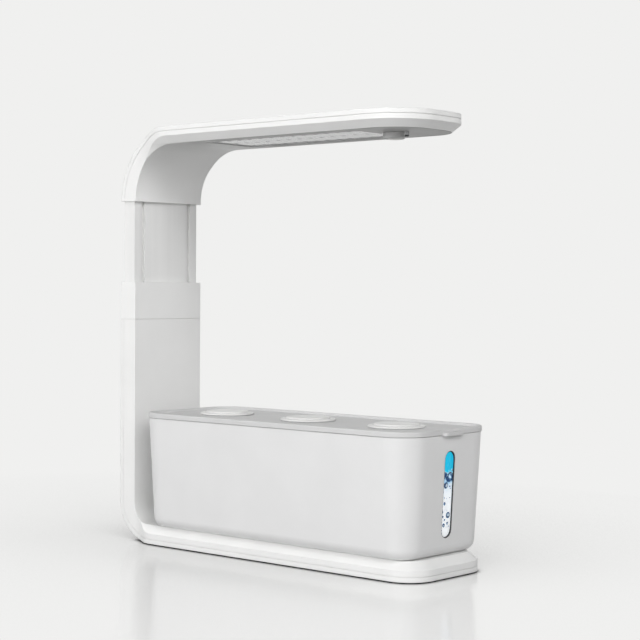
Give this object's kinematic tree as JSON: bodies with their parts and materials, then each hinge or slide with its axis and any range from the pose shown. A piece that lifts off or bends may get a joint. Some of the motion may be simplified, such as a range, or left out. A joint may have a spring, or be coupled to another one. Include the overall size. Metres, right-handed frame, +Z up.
{
  "type": "countertop hydroponic garden",
  "caption": "Countertop hydroponic garden: C-shaped lamp frame with a telescoping mast over a lift-off water tank with a sight window, a lid and planting pods.",
  "frame": {"origin": "on the worktop, under the middle of the garden's box", "axes": "+X from the column towards the free end with the sight window, +Z up, the long sides face -Y and +Y"},
  "size_m": [0.4028, 0.1324, 0.4285],
  "materials": {
    "frame_white": "satin moulded ABS",
    "post_white": "satin extruded ABS",
    "tank_white": "satin moulded ABS",
    "lid_grey": "fine matt moulded ABS",
    "pod_white": "moulded polypropylene",
    "sponge": "open peat sponge",
    "lens_grey": "frosted diffuser sheet",
    "window_clear": "clear tinted acrylic",
    "key_grey": "moulded acetal",
    "rubber_dark": "silicone rubber",
    "inlet_black": "moulded nylon",
    "board_green": "solder-masked circuit board",
    "board_white": "white solder-masked circuit board",
    "led_yellow": "phosphor over LED chip",
    "screw_steel": "zinc-plated steel"
  },
  "bodies": {
    "base": {"base_frame": "frame_white", "back_cover": "frame_white", "collar": "frame_white", "guide_keys": "key_grey", "feet": "rubber_dark", "cover_screws": "screw_steel", "control_board": "board_green", "power_inlet": "inlet_black"},
    "mast": {"post": "post_white", "arm_shell": "frame_white", "arm_cover": "frame_white", "led_board": "board_white", "led_chips": "led_yellow", "lens_panel": "lens_grey", "button_housing": "frame_white", "lamp_switch": "inlet_black", "status_light": "inlet_black", "arm_screws": "screw_steel"},
    "button": {"lamp_button": "key_grey"},
    "tank": {"tank_shell": "tank_white", "sight_window": "window_clear", "window_gasket": "rubber_dark"},
    "lid": {"lid": "lid_grey", "lid_gasket": "rubber_dark"},
    "pod_1": {"pod_basket_1": "pod_white", "pod_sponge_1": "sponge"},
    "cap_1": {"pod_cap_1": "pod_white"},
    "pod_2": {"pod_basket_2": "pod_white", "pod_sponge_2": "sponge"},
    "cap_2": {"pod_cap_2": "pod_white"},
    "pod_3": {"pod_basket_3": "pod_white", "pod_sponge_3": "sponge"},
    "cap_3": {"pod_cap_3": "pod_white"}
  },
  "joints": [
    {"name": "mast_slide", "type": "slide", "parent": "base", "child": "mast", "axis": [0, 0, 1], "range_m": [-0.084, 0.04]},
    {"name": "button_press", "type": "slide", "parent": "mast", "child": "button", "axis": [0, 0, 1], "range_m": [0, 0.0012], "stiffness_N_per_m": 800, "springref_m": -0.001},
    {"name": "tank_lift", "type": "slide", "parent": "base", "child": "tank", "axis": [0, 0, 1], "range_m": [0, 0.025]},
    {"name": "lid_lift", "type": "slide", "parent": "tank", "child": "lid", "axis": [0, 0, 1], "range_m": [0, 0.066]},
    {"name": "pod_1_lift", "type": "slide", "parent": "lid", "child": "pod_1", "axis": [0, 0, 1], "range_m": [0, 0.066]},
    {"name": "cap_1_lift", "type": "slide", "parent": "pod_1", "child": "cap_1", "axis": [0, 0, 1], "range_m": [0, 0.012]},
    {"name": "pod_2_lift", "type": "slide", "parent": "lid", "child": "pod_2", "axis": [0, 0, 1], "range_m": [0, 0.066]},
    {"name": "cap_2_lift", "type": "slide", "parent": "pod_2", "child": "cap_2", "axis": [0, 0, 1], "range_m": [0, 0.012]},
    {"name": "pod_3_lift", "type": "slide", "parent": "lid", "child": "pod_3", "axis": [0, 0, 1], "range_m": [0, 0.066]},
    {"name": "cap_3_lift", "type": "slide", "parent": "pod_3", "child": "cap_3", "axis": [0, 0, 1], "range_m": [0, 0.012]}
  ]
}
